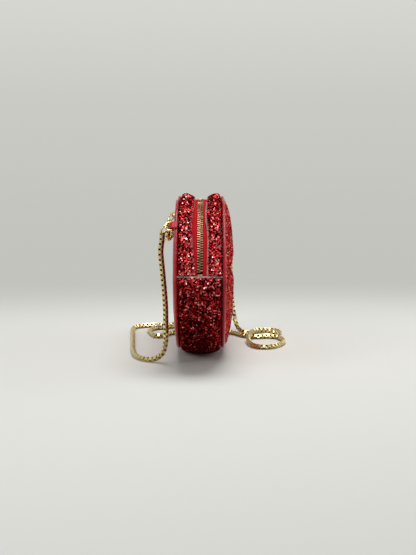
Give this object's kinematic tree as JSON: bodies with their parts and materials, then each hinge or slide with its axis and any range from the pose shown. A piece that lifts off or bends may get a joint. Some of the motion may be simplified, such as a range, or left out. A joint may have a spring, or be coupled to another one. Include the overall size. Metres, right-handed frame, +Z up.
{
  "type": "lip shaped crossbody bag",
  "caption": "Lip shaped crossbody bag that stands on its lower lip, with puffy glitter lips, piped seams, a zip over its top and a chain strap.",
  "frame": {"origin": "the middle of the small flat that the bag stands on, midway between its two seams", "axes": "+X along the bag from the near mouth corner to the far one, +Y towards the back, +Z up"},
  "size_m": [0.2835, 0.1717, 0.1603],
  "materials": {
    "glitter_leather": "crimson glitter",
    "red_leather": "smooth, satin",
    "foam": "soft foam",
    "fibre_board": "plain pressed board",
    "zip_tape": "woven red tape with antique brass teeth",
    "antique_brass": "antique",
    "pale_gold": "polished pale gold",
    "chain_metal": "polished pale gold",
    "lining_cloth": "plain cloth"
  },
  "bodies": {
    "bag": {"back_board": "fibre_board", "back_padding": "foam", "back_panel": "red_leather", "back_piping": "red_leather", "bottom_gusset": "glitter_leather", "far_strap_tab": "red_leather", "front_board": "fibre_board", "front_lower_lip": "glitter_leather", "front_padding": "foam", "front_piping": "red_leather", "front_upper_lip": "glitter_leather", "lining": "lining_cloth", "near_strap_tab": "red_leather", "strap_chain": "chain_metal", "zip_bottom_stop": "antique_brass", "zip_half_back": "zip_tape", "zip_half_front": "zip_tape", "zip_strip_back": "glitter_leather", "zip_strip_front": "glitter_leather"},
    "slider": {"zip_slider": "antique_brass"},
    "puller": {"zip_puller": "antique_brass"},
    "near_d_ring": {"near_d_ring": "pale_gold"},
    "near_ring": {"near_ring": "pale_gold"},
    "far_d_ring": {"far_d_ring": "pale_gold"},
    "far_ring": {"far_ring": "pale_gold"}
  },
  "joints": [
    {"name": "slider_travel", "type": "hinge", "parent": "bag", "child": "slider", "pos_m": [-0.02918, 0, 0.00726], "axis": [0, -1, 0], "range_deg": [0, 20], "deforming": ["zip_half_front", "zip_half_back"]},
    {"name": "puller_swing", "type": "hinge", "parent": "slider", "child": "puller", "pos_m": [0.11426, 0, 0.09901], "axis": [0, -1, 0], "range_deg": [0, 170]},
    {"name": "near_d_ring_swing", "type": "hinge", "parent": "bag", "child": "near_d_ring", "pos_m": [-0.08216, 0.0267, 0.13503], "axis": [0.7539, 0, 0.6569], "range_deg": [0, 50]},
    {"name": "near_ring_turn", "type": "hinge", "parent": "near_d_ring", "child": "near_ring", "pos_m": [-0.08365, 0.0335, 0.13234], "axis": [0.4967, 0.7094, 0.5], "continuous": true},
    {"name": "far_d_ring_swing", "type": "hinge", "parent": "bag", "child": "far_d_ring", "pos_m": [0.08216, 0.0267, 0.13503], "axis": [0.7539, 0, -0.6569], "range_deg": [0, 50]},
    {"name": "far_ring_turn", "type": "hinge", "parent": "far_d_ring", "child": "far_ring", "pos_m": [0.08365, 0.0335, 0.13234], "axis": [0.4967, -0.7094, -0.5], "continuous": true}
  ]
}
